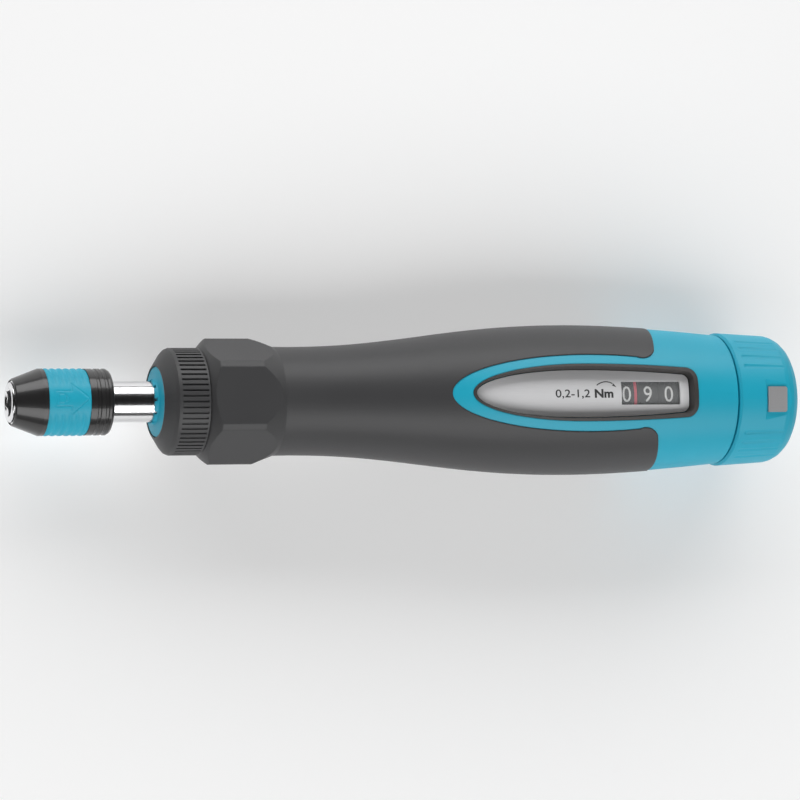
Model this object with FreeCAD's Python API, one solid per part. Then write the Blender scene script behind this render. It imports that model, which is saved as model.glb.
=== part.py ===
import FreeCAD, Part
import math
import os

# Adjustable torque screwdriver with a quarter-inch quick-release bit chuck, a reversible ratchet,
# a spring-and-ball slip clutch and a three-ring torque counter behind a window in the handle.
#
# Frame: millimetres. The origin is the centre of the bit socket's mouth, on the tool axis.
# +X runs along the axis towards the adjusting knob, +Z looks out through the counter window.

# ---------------------------------------------------------------- clearances
FIT = 0.03          # parts pushed or bonded together, radial
RUN = 0.06          # parts that turn or slide in one another, radial
AIR = 0.15          # end clearance between turning parts
SEAM = 0.2          # visible gap between outer pieces

# ---------------------------------------------------------------- driving sizes
SOCKET_FLATS = 6.4  # quarter-inch hexagon
SOCKET_DEPTH = 14.0
SHAFT_R = 5.25
SLEEVE_X0 = 0.6     # front edge of the chuck sleeve
SLEEVE_L = 25.2
SLEEVE_WALL = 3.3   # from the shaft out to the sleeve's surface
BARE_SHAFT = 11.1   # shaft seen between the sleeve and the front bush
RING_L = 11.0       # selector ring
HEX_L = 19.9        # hexagonal front of the grip, to where it has faded into the neck
BODY_L = 124.9      # neck to the back of the handle
SWELL_R = 5.83      # how much thicker the handle's belly is than its neck
GRIP_T = 1.5        # thickness of the soft grip
CORE_WALL = 1.5     # hard shell under the grip at the neck
TUBE_WALL = 1.1     # steel tube round the clutch and its spring
KNOB_L = 19.1
COUNTER_PITCH = 6.05
BALL_R = 1.5        # clutch ball
CLUTCH_BALLS = 6
CLUTCH_POCKETS = 12
SPRING_WIRE = 1.0   # radius of the main spring's wire

# ---------------------------------------------------------------- stations along the axis
SLEEVE_X1 = SLEEVE_X0 + SLEEVE_L
BUSH_X0 = SLEEVE_X1 + BARE_SHAFT
RING_X0 = BUSH_X0 + 1.4
RING_X1 = RING_X0 + RING_L
HEX_X0 = RING_X1 + SEAM
NECK_X = HEX_X0 + HEX_L
CORE_X0 = HEX_X0 + 0.5
CORE_X1 = NECK_X + BODY_L
KNOB_X0 = CORE_X1 + 0.5
KNOB_X1 = KNOB_X0 + KNOB_L
COVER_X1 = CORE_X1 - 2.3        # bearing cover
COVER_X0 = COVER_X1 - 12.0
COUNTER_X1 = COVER_X0 - 1.75    # back of the last number ring
COUNTER_X0 = COUNTER_X1 - 3 * COUNTER_PITCH
CARRIER_X = COUNTER_X0 - 13.1   # shoulder that the counter carrier is screwed to
TUBE_X1 = CARRIER_X - 4.0
COLLAR_X1 = TUBE_X1 - 0.6
COLLAR_X0 = COLLAR_X1 - 1.8

# ---------------------------------------------------------------- radii from the shaft outwards
NOSE_R = SHAFT_R - 0.15
SLEEVE_R = SHAFT_R + SLEEVE_WALL
JOURNAL_R = SHAFT_R - 1.25
SPIGOT_R = JOURNAL_R + 1.5      # clutch hub inside the cam disc
HUB_R = SPIGOT_R + 3.44
PLATE_R = HUB_R + 1.0
TUBE_IN = PLATE_R + RUN
BORE_R = TUBE_IN + TUBE_WALL
CORE_NECK_R = BORE_R + CORE_WALL
NECK_R = CORE_NECK_R + GRIP_T
HEX_FLAT = NECK_R + 0.4         # axis to flat
HEX_TURNED = HEX_FLAT + 1.75    # axis to turned corner
RING_R = NECK_R - 0.3
BELLY_R = NECK_R + SWELL_R
SPRING_R = PLATE_R - SPRING_WIRE - 1.34
COUNTER_R = BELLY_R - 4.93
CHAMBER_R = COUNTER_R + 0.35
REAR_BORE_R = CHAMBER_R + 0.15
LABEL_IN = CHAMBER_R + 0.4
LABEL_OUT = LABEL_IN + 0.55

# Outline of the handle from the neck back: share of its length, share of its swell
SWELL = [(0.0, 0.0), (0.085, 0.01), (0.173, 0.11), (0.285, 0.36), (0.397, 0.66),
         (0.517, 0.90), (0.661, 1.0), (0.821, 0.89), (1.0, 0.592)]
BODY = [(NECK_X + s * BODY_L, NECK_R + t * (BELLY_R - NECK_R)) for s, t in SWELL]
BODY_END_R = BODY[-1][1]

V = FreeCAD.Vector
O = V(0, 0, 0)
X = V(1, 0, 0)
FAR = 30.0          # reach of tools that cut right through
nodes = {}


# ---------------------------------------------------------------- small helpers
def turned(*outline):
    """Solid turned about the tool axis from (station, radius) corners."""
    points = [V(x, 0, r) for x, r in outline]
    return Part.Face(Part.makePolygon(points + points[:1])).revolve(O, X, 360)


def ring(x0, x1, inner, outer):
    return turned((x0, inner), (x1, inner), (x1, outer), (x0, outer))


def rod(x0, x1, radius):
    return Part.makeCylinder(radius, x1 - x0, V(x0, 0, 0), X)


def block(x0, x1, y0, y1, z0, z1):
    return Part.makeBox(x1 - x0, y1 - y0, z1 - z0, V(x0, y0, z0))


def bar(x0, x1, half, z0, z1):
    """Block standing on a radius, centred on the tool axis."""
    return block(x0, x1, -half, half, z0, z1)


def spun(shape, degrees):
    """Copy of a shape turned about the tool axis."""
    copy = shape.copy()
    copy.rotate(O, X, degrees)
    return copy


def around(shape, count, first=0.0):
    return Part.makeCompound([spun(shape, first + 360.0 * i / count) for i in range(count)])


def at_angle(x, radius, degrees):
    """Point at a radius from the axis, its angle counted from +Z about +X."""
    a = math.radians(degrees)
    return V(x, -radius * math.sin(a), radius * math.cos(a))


def plate(x0, x1, outline):
    """Flat piece across the axis from (radius, degrees) corners."""
    points = [at_angle(x0, r, a) for r, a in outline]
    return Part.Face(Part.makePolygon(points + points[:1])).extrude(X * (x1 - x0))


def hexagon(x0, x1, flat, corner_round=0.0):
    """Hexagonal bar with one flat facing +Z; flat is the distance from the axis to a flat."""
    corner = flat / math.cos(math.radians(30))
    prism = plate(x0, x1, [(corner, 30 + 60 * i) for i in range(6)])
    if corner_round:
        along = [e for e in prism.Edges if abs(e.tangentAt(e.FirstParameter).x) > 0.99]
        prism = prism.makeFillet(corner_round, along)
    return prism


def snap_ring(x, thick, inner, outer):
    """Open retaining ring with its gap facing down."""
    return ring(x, x + thick, inner, outer).cut(bar(x - 1, x + thick + 1, 0.2 * inner, -outer - 1, 0))


def body(offset, x0, x1):
    """The handle's round outline moved out by an offset, solid down to the axis, between stations."""
    curve = Part.BSplineCurve()
    curve.interpolate([V(x, 0, r + offset) for x, r in BODY])
    start, end = curve.StartPoint, curve.EndPoint
    edges = [curve.toShape(), Part.makeLine(end, V(end.x, 0, 0)),
             Part.makeLine(V(end.x, 0, 0), V(start.x, 0, 0)), Part.makeLine(V(start.x, 0, 0), start)]
    solid = Part.Face(Part.Wire(edges)).revolve(O, X, 360)
    if x0 > start.x or x1 < end.x:
        solid = solid.common(rod(x0, x1, FAR))
    return solid


def oval_wire(tip, middle, half, end, end_half, corner, grow=0.0, height=0.0):
    """Long oval seen from above: elliptic towards the tip, square with round corners behind."""
    tip, end = tip - grow, end + grow
    half, end_half = half + grow, end_half + grow
    run = end - corner
    inset = corner * (1 - math.sqrt(0.5))
    nose = Part.Ellipse(V(middle, 0, height), middle - tip, half)
    edges = [Part.ArcOfEllipse(nose, math.pi / 2, 1.5 * math.pi).toShape()]
    for side in (1, -1):
        waist = V((middle + run) / 2, side * (0.75 * half + 0.25 * end_half), height)
        turn = V(run, side * end_half, height)
        edges.append(Part.Arc(V(middle, side * half, height), waist, turn).toShape())
        edges.append(Part.Arc(turn, V(end - inset, side * (end_half - inset), height),
                              V(end, side * (end_half - corner), height)).toShape())
    edges.append(Part.makeLine(V(end, end_half - corner, height), V(end, corner - end_half, height)))
    return Part.Wire(Part.__sortEdges__(edges))


def oval(outline, grow=0.0):
    """Upright prism over a long oval."""
    return Part.Face(oval_wire(*outline, grow=grow)).extrude(V(0, 0, FAR))


def coil(x0, x1, radius, wire, turns, per_turn, sides):
    """Compression spring with one closed turn at each end, drawn with straight stretches."""
    closed = 2.04 * wire
    pitch = (x1 - x0 - 2 * wire - 2 * closed) / (turns - 2.0)
    edge = wire / math.cos(math.pi / sides)
    rows = []
    for i in range(int(turns * per_turn) + 1):
        t = i / float(per_turn)
        x = x0 + wire + closed * min(t, 1.0) + pitch * min(max(t - 1.0, 0.0), turns - 2.0)
        x += closed * max(t - turns + 1.0, 0.0)
        row = []
        for k in range(sides):
            a = 2 * math.pi * (k + 0.5) / sides
            row.append(at_angle(x + edge * math.cos(a), radius + edge * math.sin(a), 360 * t))
        rows.append(row)
    faces = []
    for one, two in zip(rows, rows[1:]):
        for k in range(sides):
            n = (k + 1) % sides
            for three in ((one[k], one[n], two[n]), (one[k], two[n], two[k])):
                faces.append(Part.Face(Part.makePolygon(list(three) + [three[0]])))
    for row in (rows[0], rows[-1]):
        faces.append(Part.Face(Part.makePolygon(row + row[:1])))
    shell = Part.makeShell(faces)
    shell.sewShape()
    solid = Part.Solid(shell)
    if solid.Volume < 0:
        solid.reverse()
    return solid


def keep(name, shape):
    nodes[name] = shape


# ---------------------------------------------------------------- ratchet head, sizes the spindle needs
BUSH_R = RING_R - 4.8
BUSH_DISC_X = RING_X0 + 1.0     # back of the disc that shows in the ring
BUSH_STEM_R = BUSH_R - 0.8
HOUSING_R = RING_R - 2.2
HOUSING_X0 = BUSH_DISC_X + 1.5
CAVITY_X0 = HOUSING_X0 + 1.8
CAVITY_R = HOUSING_R - 1.0
WHEEL_R = CAVITY_R - 3.0
WHEEL_ROOT = WHEEL_R - 0.9
TEETH = 36
WHEEL_X0 = CAVITY_X0 + 0.4
WHEEL_X1 = RING_X1 - 1.8
FLANGE_X0 = WHEEL_X1 + 0.4      # clutch hub's flange closes the cavity
FLANGE_X1 = RING_X1 + 0.1
BEARING_X1 = CORE_X0 + 12.0     # shoulder that carries the clutch thrust bearing
THRUST_X = BEARING_X1 + 1.4     # bronze washer runs against the steel race here
CAM_X0 = THRUST_X + 1.4
CAM_X1 = CAM_X0 + 4.0
CLIP_W = 0.6                    # thickness of all the retaining rings on shafts
SPIGOT_X1 = CAM_X1 + 2 * CLIP_W

# ---------------------------------------------------------------- spindle and bit chuck
CLIP_X = SLEEVE_X0 + 0.25       # nose circlip groove
CLIP_DEEP = 0.35
LOCK_BALL_R = 1.2
LOCK_BALL_X = 6.0
SPRING_FRONT = SLEEVE_X0 + SLEEVE_L / 3.0   # front wall of the spring chamber in the sleeve
SEAT_T = 0.8
SEAT_X = SLEEVE_X1 - 2.1        # spring seat washer on the spindle
CHUCK_CHAMBER_R = SLEEVE_R - 1.55
MAGNET_R = SOCKET_FLATS / 2 - 0.65
MAGNET_L = 4.2
WHEEL_SEAT_R = SHAFT_R - 0.65
JOURNAL_X1 = CAM_X0 + 1.2
SOCKET_TURN = 23.0              # degrees that the free spindle happens to stand turned by

spindle = turned((0, 0), (0, NOSE_R - CLIP_DEEP), (CLIP_DEEP, NOSE_R), (SEAT_X - 1.7, NOSE_R),
                 (SEAT_X - 1.5, SHAFT_R), (CAVITY_X0 + AIR, SHAFT_R), (CAVITY_X0 + AIR, WHEEL_SEAT_R),
                 (WHEEL_X1, WHEEL_SEAT_R), (WHEEL_X1, JOURNAL_R), (JOURNAL_X1, JOURNAL_R), (JOURNAL_X1, 0))
socket = spun(hexagon(-1, SOCKET_DEPTH, SOCKET_FLATS / 2), SOCKET_TURN)
mouth = Part.makeCone(SOCKET_FLATS / 2 + 0.9, SOCKET_FLATS / 2 - 0.3, 1.2, V(-0.3, 0, 0), X)
magnet_bore = rod(SOCKET_DEPTH - 0.1, SOCKET_DEPTH + MAGNET_L, MAGNET_R + FIT)
ball_hole = Part.makeCylinder(LOCK_BALL_R + RUN, NOSE_R + 1, V(LOCK_BALL_X, 0, 0), V(0, 0, 1))
spindle = spindle.cut(socket.fuse(mouth)).cut(magnet_bore)
spindle = spindle.cut(ring(CLIP_X, CLIP_X + CLIP_W, NOSE_R - CLIP_DEEP, SHAFT_R + 1))
spindle = spindle.cut(ring(SEAT_X + SEAT_T, SEAT_X + SEAT_T + CLIP_W, SHAFT_R - 0.4, SHAFT_R + 1))
keep("spindle", spindle.cut(around(ball_hole, 2, SOCKET_TURN)))

keep("socket_magnet", rod(SOCKET_DEPTH, SOCKET_DEPTH + MAGNET_L, MAGNET_R))
lock_ball = Part.makeSphere(LOCK_BALL_R, V(LOCK_BALL_X, 0, NOSE_R - LOCK_BALL_R))
keep("socket_lock_balls", around(lock_ball, 2, SOCKET_TURN))
keep("nose_circlip", snap_ring(CLIP_X, CLIP_W, NOSE_R - CLIP_DEEP + FIT, NOSE_R + CLIP_DEEP))
keep("spring_seat_washer", ring(SEAT_X, SEAT_X + SEAT_T, SHAFT_R + RUN, CHUCK_CHAMBER_R - RUN))
keep("spring_seat_clip", spun(snap_ring(SEAT_X + SEAT_T, CLIP_W, SHAFT_R - 0.4 + FIT, SHAFT_R + 0.95), 140))
coil_r = (NOSE_R + CHUCK_CHAMBER_R) / 2
keep("sleeve_spring", coil(SPRING_FRONT, SEAT_X, coil_r, 0.21 * (CHUCK_CHAMBER_R - NOSE_R), 6, 10, 4))

# Sleeve: plain steel, tapered to the front, with a seat for the band and two grooves behind it
TAPER_END = SLEEVE_X0 + 0.274 * SLEEVE_L
BAND_X0 = TAPER_END + 1.1
BAND_X1 = SLEEVE_X1 - SLEEVE_L / 4.0
BAND_T = 0.65
GROOVE_DEEP = 0.25
BACK_R = SLEEVE_R - 0.05
CLIP_BORE_R = NOSE_R + 0.5
CLIP_FACE = CLIP_X + CLIP_W + 0.05
RECESS_X = LOCK_BALL_X - 3.0    # the balls drop in here when the sleeve is pulled 3 mm
outline = [(SLEEVE_X0, CLIP_BORE_R), (SLEEVE_X0, CLIP_BORE_R + 0.15),
           (SLEEVE_X0 + 0.35, CLIP_BORE_R + 0.45), (TAPER_END, SLEEVE_R), (BAND_X0, SLEEVE_R),
           (BAND_X0, SLEEVE_R - BAND_T), (BAND_X1, SLEEVE_R - BAND_T), (BAND_X1, BACK_R)]
for share in (0.36, 0.69):
    x = BAND_X1 + share * (SLEEVE_X1 - BAND_X1)
    outline += [(x - 0.5, BACK_R), (x - 0.3, BACK_R - GROOVE_DEEP), (x + 0.3, BACK_R - GROOVE_DEEP),
                (x + 0.5, BACK_R)]
outline += [(SLEEVE_X1 - 0.9, BACK_R), (SLEEVE_X1 - 0.25, BACK_R - 0.4), (SLEEVE_X1, BACK_R - 0.95),
            (SLEEVE_X1, CHUCK_CHAMBER_R), (SPRING_FRONT, CHUCK_CHAMBER_R), (SPRING_FRONT, NOSE_R + RUN),
            (RECESS_X + 1.4, NOSE_R + RUN), (RECESS_X + 1.1, NOSE_R + 0.6), (RECESS_X - 0.9, NOSE_R + 0.6),
            (RECESS_X - 1.1, NOSE_R + RUN), (CLIP_FACE, NOSE_R + RUN), (CLIP_FACE, CLIP_BORE_R)]
keep("chuck_sleeve", turned(*outline))

# Moulded band with fine ribs round it
RIBS = 6
rib_pitch = (BAND_X1 - BAND_X0 - 2 * FIT) / RIBS
outline = [(BAND_X0 + FIT, SLEEVE_R - BAND_T + FIT)]
for i in range(RIBS):
    x = BAND_X0 + FIT + i * rib_pitch
    outline += [(x, SLEEVE_R - 0.06), (x + 0.3, SLEEVE_R + 0.08), (x + rib_pitch - 0.6, SLEEVE_R + 0.08)]
outline += [(BAND_X1 - FIT, SLEEVE_R - 0.06), (BAND_X1 - FIT, SLEEVE_R - BAND_T + FIT)]
keep("chuck_grip_band", turned(*outline))

# ---------------------------------------------------------------- ratchet head
step = 360.0 / TEETH
teeth = []
for i in range(TEETH):
    teeth += [(WHEEL_ROOT, i * step), (WHEEL_R, (i + 0.5) * step)]
wheel = plate(WHEEL_X0, WHEEL_X1, teeth)
keep("ratchet_wheel", wheel.cut(rod(WHEEL_X0 - 1, WHEEL_X1 + 1, WHEEL_SEAT_R + FIT)))

# Front bush: a dished disc with a notched lip round the shaft, pressed into the housing
LIP_R = SHAFT_R + 0.45
LIP_NOTCHES = 10
bush = turned((BUSH_X0, SHAFT_R + RUN), (BUSH_X0, LIP_R), (BUSH_X0 + 0.9, LIP_R + 0.15),
              (BUSH_X0 + 1.1, LIP_R + 0.4), (RING_X0 + 0.15, BUSH_R - 0.1), (RING_X0 + 0.4, BUSH_R),
              (BUSH_DISC_X, BUSH_R), (BUSH_DISC_X, BUSH_STEM_R), (CAVITY_X0, BUSH_STEM_R),
              (CAVITY_X0, SHAFT_R + RUN))
notch = bar(BUSH_X0 - 1, BUSH_X0 + 0.6, 0.45, SHAFT_R - 1, SHAFT_R + 1)
keep("front_bush", bush.cut(around(notch, LIP_NOTCHES)))

DETENT_R = 0.7
DETENT_X = (HOUSING_X0 + CAVITY_X0) / 2
DETENT_FOOT = HOUSING_R - 2.0
DETENT_TOP = HOUSING_R + 0.3
DETENT_TIP = 0.35
housing = turned((HOUSING_X0, BUSH_STEM_R + FIT), (HOUSING_X0, HOUSING_R), (RING_X1 - 0.1, HOUSING_R),
                 (RING_X1 - 0.1, CAVITY_R), (CAVITY_X0, CAVITY_R), (CAVITY_X0, BUSH_STEM_R + FIT))
detent_hole = Part.makeCylinder(DETENT_R + FIT, 3, V(DETENT_X, 0, DETENT_FOOT), V(0, 0, 1))
keep("ratchet_housing", housing.cut(detent_hole))
detent_l = DETENT_TOP - DETENT_TIP - DETENT_FOOT
detent = Part.makeCylinder(DETENT_R, detent_l, V(DETENT_X, 0, DETENT_FOOT), V(0, 0, 1))
tip = Part.makeCone(DETENT_R, 0.3, DETENT_TIP, V(DETENT_X, 0, DETENT_TOP - DETENT_TIP), V(0, 0, 1))
keep("selector_detent_pin", detent.fuse(tip))

hub = turned((FLANGE_X0, JOURNAL_R + RUN), (FLANGE_X0, CAVITY_R - FIT), (FLANGE_X1, CAVITY_R - FIT),
             (FLANGE_X1, HUB_R), (CAM_X0, HUB_R), (CAM_X0, SPIGOT_R), (CAM_X1, SPIGOT_R),
             (CAM_X1, SPIGOT_R - 0.5), (CAM_X1 + CLIP_W, SPIGOT_R - 0.5), (CAM_X1 + CLIP_W, SPIGOT_R),
             (SPIGOT_X1, SPIGOT_R), (SPIGOT_X1, 0), (JOURNAL_X1 + 0.3, 0),
             (JOURNAL_X1 + 0.3, JOURNAL_R + RUN))
PIN_R = 0.8
PAWL_PIVOT_R = WHEEL_R + 1.6
PAWL_PIVOT = 58.0   # degrees from +Z
PAWL_NOSE = 90.0
PAWL_END_GAP = 0.1
pin_at = at_angle(0, PAWL_PIVOT_R, PAWL_PIVOT)
pins = []
for side in (1, -1):
    pin_hole = Part.makeCylinder(PIN_R + FIT, 1.1, V(FLANGE_X0 - 0.1, side * pin_at.y, pin_at.z), X)
    hub = hub.cut(pin_hole)
    foot = V(CAVITY_X0 + PAWL_END_GAP, side * pin_at.y, pin_at.z)
    pins.append(Part.makeCylinder(PIN_R, FLANGE_X0 + 1.0 - foot.x, foot, X))
keep("clutch_hub", hub)
keep("pawl_pins", Part.makeCompound(pins))

# Pawl: an eye on its pin, an arm along the wheel and a wedge that drops between two teeth
pawl_x0 = WHEEL_X0 + PAWL_END_GAP
pawl_x1 = WHEEL_X1 - PAWL_END_GAP
nose = [(0.2, -6.0), (0.15, -3.6), (-0.65, 0.0), (0.15, 3.6), (1.4, 5.0), (1.7, -2.0)]
arm = [(2.3, -17.0), (2.7, -30.0), (0.5, -30.0), (0.3, -17.0)]
shape = [(WHEEL_R + rise, PAWL_NOSE + a) for rise, a in nose + arm]
pivot = at_angle(pawl_x0, PAWL_PIVOT_R, PAWL_PIVOT)
pawl = plate(pawl_x0, pawl_x1, shape).fuse(Part.makeCylinder(PIN_R + 0.45, pawl_x1 - pawl_x0, pivot, X))
pawl = pawl.cut(Part.makeCylinder(PIN_R + RUN, pawl_x1 - pawl_x0, pivot, X))
keep("forward_pawl", pawl)
keep("reverse_pawl", pawl.mirror(O, V(0, 1, 0)))

# Selector ring: cone, knurl of fine axial grooves, stop groove for the detent pin
RING_GROOVES = 60
RING_CONE = RING_X0 + 0.3 * RING_L
STOP_HALF = 24.0    # degrees each way that the stop groove runs
STEP_R = BUSH_STEM_R + 0.1
selector = turned((RING_X0, BUSH_R + 0.1), (RING_X0, BUSH_R + 0.5), (RING_X0 + 0.35, BUSH_R + 1.0),
                  (RING_CONE - 1.1, RING_R - 1.0), (RING_CONE - 0.45, RING_R - 0.3),
                  (RING_CONE + 0.3, RING_R), (RING_X1, RING_R), (RING_X1, HOUSING_R + RUN),
                  (HOUSING_X0 - AIR, HOUSING_R + RUN), (HOUSING_X0 - AIR, STEP_R),
                  (BUSH_DISC_X + AIR, STEP_R), (BUSH_DISC_X + AIR, BUSH_R + 0.1))
groove = bar(RING_CONE + 0.4, RING_X1 - 0.5, 0.28, RING_R - 0.4, RING_R + 1)
path = ring(DETENT_X - 0.85, DETENT_X + 0.85, HOUSING_R - 1, DETENT_TOP + 0.12)
sector = plate(DETENT_X - 1, DETENT_X + 1, [(0, 0), (FAR, -STOP_HALF), (FAR, 0), (FAR, STOP_HALF)])
selector = selector.cut(around(groove, RING_GROOVES)).cut(path.common(sector))
keep("selector_ring", selector)

# ---------------------------------------------------------------- slip clutch
THRUST_OUT = BORE_R - 0.2
BEARING_OUT = BORE_R - 1.3
keep("front_bearing", ring(CORE_X0 + 2.0, BEARING_X1 - 0.2, HUB_R + RUN, BEARING_OUT - FIT))
keep("clutch_thrust_race", ring(BEARING_X1, THRUST_X, HUB_R + 2 * RUN, THRUST_OUT))
keep("clutch_thrust_washer", ring(THRUST_X, CAM_X0, HUB_R + RUN, THRUST_OUT - 0.3))

BALL_PITCH_R = PLATE_R - BALL_R - 0.54
PLATE_X0 = CAM_X1 + BALL_R
PLATE_X1 = PLATE_X0 + 4.7
ball_x = CAM_X1 + BALL_R / 2
pocket = Part.makeSphere(BALL_R + RUN, V(ball_x, 0, BALL_PITCH_R))
cam = ring(CAM_X0, CAM_X1, SPIGOT_R + FIT, PLATE_R - 0.34)
keep("cam_disc", cam.cut(around(pocket, CLUTCH_POCKETS)))
keep("cam_disc_clip", snap_ring(CAM_X1, CLIP_W, SPIGOT_R - 0.5 + FIT, SPIGOT_R + 0.7))
ball = Part.makeSphere(BALL_R, V(ball_x, 0, BALL_PITCH_R))
keep("clutch_balls", around(ball, CLUTCH_BALLS))
cage = ring(ball_x - 0.1, ball_x + 0.6, BALL_PITCH_R - BALL_R + 0.3, PLATE_R - 0.3)
cage_hole = Part.makeCylinder(BALL_R + RUN, 2, V(ball_x - 1, 0, BALL_PITCH_R), X)
keep("ball_cage", cage.cut(around(cage_hole, CLUTCH_BALLS)))

# Pressure plate and nut slide in the tube on two keys each
KEY_W = 2.9
SPRING_PILOT = SPRING_R - SPRING_WIRE - 0.5


def keys(x0, x1):
    return around(block(x0, x1, PLATE_R - 0.5, BORE_R - 0.35, -KEY_W / 2, KEY_W / 2), 2)


presser = turned((PLATE_X0, SPIGOT_R + 1.1), (PLATE_X1, SPIGOT_R + 0.2), (PLATE_X1 + 2, SPIGOT_R + 0.2),
                 (PLATE_X1 + 2, SPRING_PILOT), (PLATE_X1, SPRING_PILOT), (PLATE_X1, PLATE_R),
                 (PLATE_X0, PLATE_R))
presser = presser.cut(around(pocket, CLUTCH_BALLS)).fuse(keys(PLATE_X0 + 0.6, PLATE_X1 - 0.4))
keep("pressure_plate", presser)

WASHER_T = 1.5
SPRING_L = 0.625 * (COLLAR_X0 - PLATE_X1)       # as wound to a setting of 0.90
NUT_X0 = PLATE_X1 + SPRING_L + WASHER_T
NUT_X1 = NUT_X0 + 10.0
THREAD_R = 3.5
keep("main_spring", coil(PLATE_X1, NUT_X0 - WASHER_T, SPRING_R, SPRING_WIRE, 8.5, 12, 6))
keep("main_spring_washer", ring(NUT_X0 - WASHER_T, NUT_X0, THREAD_R + 1.7, PLATE_R - 0.2))
keep("spring_nut", ring(NUT_X0, NUT_X1, THREAD_R + RUN, PLATE_R).fuse(keys(NUT_X0 + 1, NUT_X1 - 1)))

tube = ring(CAM_X0 + 0.3, TUBE_X1, TUBE_IN, BORE_R - FIT)
slot = block(PLATE_X0 - 1.5, TUBE_X1 - 8, PLATE_R - 2, FAR, -KEY_W / 2 - RUN, KEY_W / 2 + RUN)
keep("mechanism_tube", tube.cut(around(slot, 2)))

# ---------------------------------------------------------------- knob sizes that the drive needs
KNOB_FRONT_R = BODY_END_R + 0.35
KNOB_REAR_R = KNOB_FRONT_R - 0.9
KNOB_FLAT = KNOB_REAR_R - 0.38  # axis to the milled flat
KNOB_TURN = 6.3                 # degrees from the window's middle to the knob's flat
KNOB_CAVITY_R = KNOB_FLAT - 1.62
CAVITY_BACK = KNOB_X1 - 6.9
LOCK_TRAVEL = 3.0
LOCK_TEETH = 20
LOCK_R = KNOB_CAVITY_R - 1.6
LOCK_TUBE_R = LOCK_R - 2.5
DRIVE_R = LOCK_TUBE_R - 1.9
LOCK_X1 = CAVITY_BACK - 1.0
LOCK_X0 = LOCK_X1 - LOCK_TRAVEL

# ---------------------------------------------------------------- adjusting spindle and drive
STEM_R = THREAD_R + 0.5
SCREW_R = 1.5
PIN_X = (COVER_X0 + COVER_X1) / 2
DRIVE_HEX = DRIVE_R - 1.5
HEX_SPIGOT = 1.6
adjuster = turned((NUT_X0 - 17.5, 0), (NUT_X0 - 17.5, THREAD_R - 0.5), (NUT_X0 - 17, THREAD_R),
                  (COLLAR_X0, THREAD_R), (COLLAR_X0, PLATE_R - 1.4), (COLLAR_X1, PLATE_R - 1.4),
                  (COLLAR_X1, STEM_R), (CAVITY_BACK - 0.1, STEM_R), (CAVITY_BACK - 0.1, 0))
adjuster = adjuster.cut(rod(CAVITY_BACK - 10, CAVITY_BACK, SCREW_R + FIT))
cross_l = 2 * DRIVE_R - 1.0
cross_hole = Part.makeCylinder(1.0 + FIT, 3 * DRIVE_R, V(PIN_X, 0, -1.5 * DRIVE_R), V(0, 0, 1))
keep("adjusting_spindle", adjuster.cut(cross_hole))
keep("adjuster_thrust_washer", ring(COLLAR_X1, TUBE_X1, STEM_R + RUN, PLATE_R - 1.1))
keep("drive_pin", Part.makeCylinder(1.0, cross_l, V(PIN_X, 0, -cross_l / 2), V(0, 0, 1)))

CARRIER_R = COUNTER_R - 4.1
units_x = COUNTER_X1 - COUNTER_PITCH
drive = turned((units_x, STEM_R + FIT), (units_x, CARRIER_R), (COUNTER_X1 - AIR, CARRIER_R),
               (COUNTER_X1 - AIR, CARRIER_R + 1.3), (COVER_X0 - 0.5, CARRIER_R + 1.3),
               (COVER_X0 - 0.5, DRIVE_R),
               (CAVITY_BACK, DRIVE_R), (CAVITY_BACK, STEM_R + FIT))
drive_end = spun(hexagon(CAVITY_BACK - 0.5, CAVITY_BACK + HEX_SPIGOT, DRIVE_HEX), KNOB_TURN)
drive_end = drive_end.cut(rod(CAVITY_BACK - 1, CAVITY_BACK + 2, STEM_R + FIT))
keep("drive_hub", drive.fuse(drive_end).cut(cross_hole))

# ---------------------------------------------------------------- counter
for place, name in enumerate(("ones_ring", "tenths_ring", "hundredths_ring")):
    x = COUNTER_X0 + place * COUNTER_PITCH
    inner = CARRIER_R + (FIT if name == "hundredths_ring" else RUN)
    keep(name, ring(x, x + COUNTER_PITCH - AIR, inner, COUNTER_R))

SHOULDER_T = 1.8
SCREW_PITCH_R = (BORE_R + CHAMBER_R) / 2
carrier = turned((TUBE_X1, STEM_R + RUN), (TUBE_X1, BORE_R - FIT), (CARRIER_X, BORE_R - FIT),
                 (CARRIER_X, CHAMBER_R - AIR), (CARRIER_X + SHOULDER_T, CHAMBER_R - AIR),
                 (CARRIER_X + SHOULDER_T, CARRIER_R), (units_x - AIR, CARRIER_R),
                 (units_x - AIR, STEM_R + 2), (CARRIER_X + 3, STEM_R + 2), (CARRIER_X + 3, STEM_R + RUN))
screw_hole = Part.makeCylinder(1.0 + FIT, 9, V(CARRIER_X - 6, 0, SCREW_PITCH_R), X)
keep("counter_carrier", carrier.cut(around(screw_hole, 3, 60)))
screw = Part.makeCylinder(1.0, 6 + SHOULDER_T, V(CARRIER_X - 6, 0, SCREW_PITCH_R), X)
screw = screw.fuse(Part.makeCylinder(1.6, 1.4, V(CARRIER_X + SHOULDER_T, 0, SCREW_PITCH_R), X))
slot_x = CARRIER_X + SHOULDER_T + 0.8
driver_slot = bar(slot_x, slot_x + 2, 0.3, SCREW_PITCH_R - 2, SCREW_PITCH_R + 2)
keep("carrier_screws", around(screw.cut(driver_slot), 3, 60))
spacer_x = CARRIER_X + SHOULDER_T + 1.7
keep("counter_spacer", ring(spacer_x, COUNTER_X0 - 0.05, CARRIER_R + FIT, CARRIER_R + 1.4))

# ---------------------------------------------------------------- handle
LENS_EDGE = 0.9
APERTURE_X0 = COUNTER_X0 + 0.95
APERTURE_X1 = COUNTER_X1 - 0.35
APERTURE_HALF = 3.05
SKIN_STEP = 0.2     # hard shell lies this much below the soft grip
FRAME_W = 1.3       # width of the frame's rim along the sides
FRAME_SLOPE = 0.7   # how much its opening widens from the label to the rim
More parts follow.
